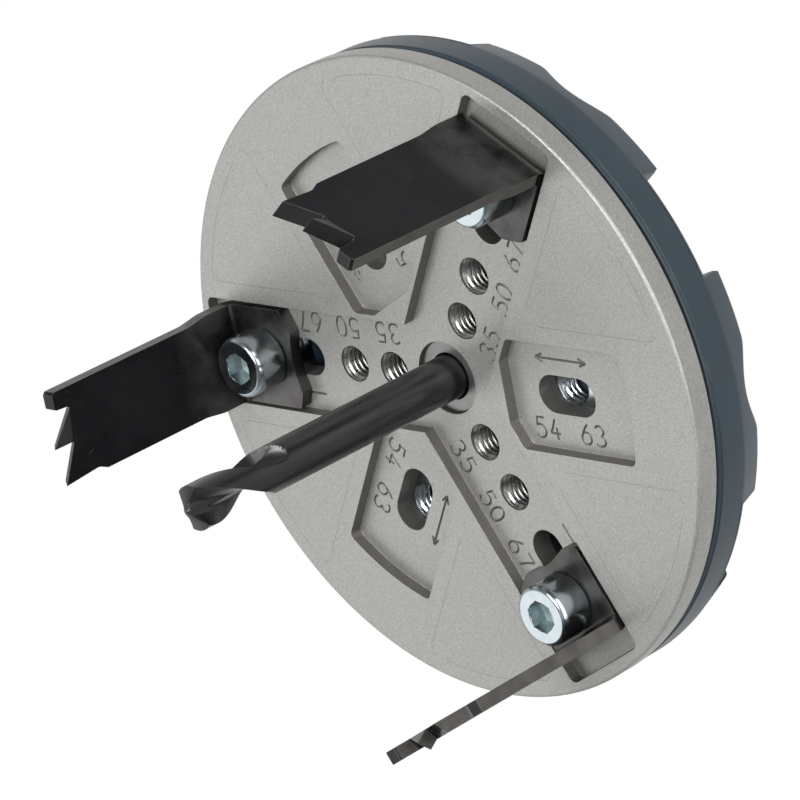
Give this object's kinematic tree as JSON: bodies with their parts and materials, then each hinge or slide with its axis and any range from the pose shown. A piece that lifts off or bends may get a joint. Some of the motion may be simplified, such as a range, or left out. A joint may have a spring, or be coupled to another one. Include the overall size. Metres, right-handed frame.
{
  "type": "adjustable hole saw",
  "caption": "Adjustable hole saw with L-shaped toothed blades on a round cast plate, a pilot drill, a plastic rear cover and a hexagon shank.",
  "frame": {"origin": "on the tool axis at the back face of the arbor's collar, where the shank enters the chuck", "axes": "+Z along the tool axis to the pilot drill's point, +X along the arm of blade_a"},
  "size_m": [0.0886, 0.0886, 0.0819],
  "materials": {
    "die_cast": "sandblasted",
    "cover_plastic": "matte",
    "black_steel": "black oxide",
    "zinc_steel": "zinc plated",
    "arbor_steel": "turned"
  },
  "bodies": {
    "plate": {"base_plate": "die_cast", "rear_cover": "cover_plastic", "arbor": "arbor_steel", "pilot_drill": "black_steel", "cover_screw_a": "zinc_steel", "cover_screw_b": "zinc_steel", "cover_screw_c": "zinc_steel"},
    "grip_screw": {"drill_grip_screw": "black_steel"},
    "carrier_a": {"blade_a": "black_steel", "blade_nut_a": "zinc_steel"},
    "carrier_b": {"blade_b": "black_steel", "blade_nut_b": "zinc_steel"},
    "carrier_c": {"blade_c": "black_steel", "blade_nut_c": "zinc_steel"},
    "clamp_screw_a": {"blade_screw_a": "zinc_steel"},
    "clamp_screw_b": {"blade_screw_b": "zinc_steel"},
    "clamp_screw_c": {"blade_screw_c": "zinc_steel"},
    "nut_a": {"spare_nut_a": "zinc_steel"},
    "nut_b": {"spare_nut_b": "zinc_steel"},
    "nut_c": {"spare_nut_c": "zinc_steel"}
  },
  "joints": [
    {"name": "blade_a_slide", "type": "slide", "parent": "plate", "child": "carrier_a", "axis": [1, 0, 0], "range_m": [-0.0072, 0.0021]},
    {"name": "blade_b_slide", "type": "slide", "parent": "plate", "child": "carrier_b", "axis": [-0.5, 0.866, 0], "range_m": [-0.0072, 0.0021]},
    {"name": "blade_c_slide", "type": "slide", "parent": "plate", "child": "carrier_c", "axis": [-0.5, -0.866, 0], "range_m": [-0.0072, 0.0021]},
    {"name": "blade_screw_a_turn", "type": "hinge", "parent": "carrier_a", "child": "clamp_screw_a", "pos_m": [0.0329, 0, 0.016], "axis": [0, 0, 1], "continuous": true},
    {"name": "blade_screw_b_turn", "type": "hinge", "parent": "carrier_b", "child": "clamp_screw_b", "pos_m": [-0.01645, 0.02849, 0.016], "axis": [0, 0, 1], "continuous": true},
    {"name": "blade_screw_c_turn", "type": "hinge", "parent": "carrier_c", "child": "clamp_screw_c", "pos_m": [-0.01645, -0.02849, 0.016], "axis": [0, 0, 1], "continuous": true},
    {"name": "grip_screw_turn", "type": "hinge", "parent": "plate", "child": "grip_screw", "pos_m": [0, -0.006, 0.0035], "axis": [0, -1, 0], "continuous": true},
    {"name": "spare_nut_a_slide", "type": "slide", "parent": "plate", "child": "nut_a", "axis": [0.5, 0.866, 0], "range_m": [-0.0022, 0.0023]},
    {"name": "spare_nut_b_slide", "type": "slide", "parent": "plate", "child": "nut_b", "axis": [-1, 0, 0], "range_m": [-0.004, 0.0005]},
    {"name": "spare_nut_c_slide", "type": "slide", "parent": "plate", "child": "nut_c", "axis": [0.5, -0.866, 0], "range_m": [-0.0004, 0.0041]}
  ]
}
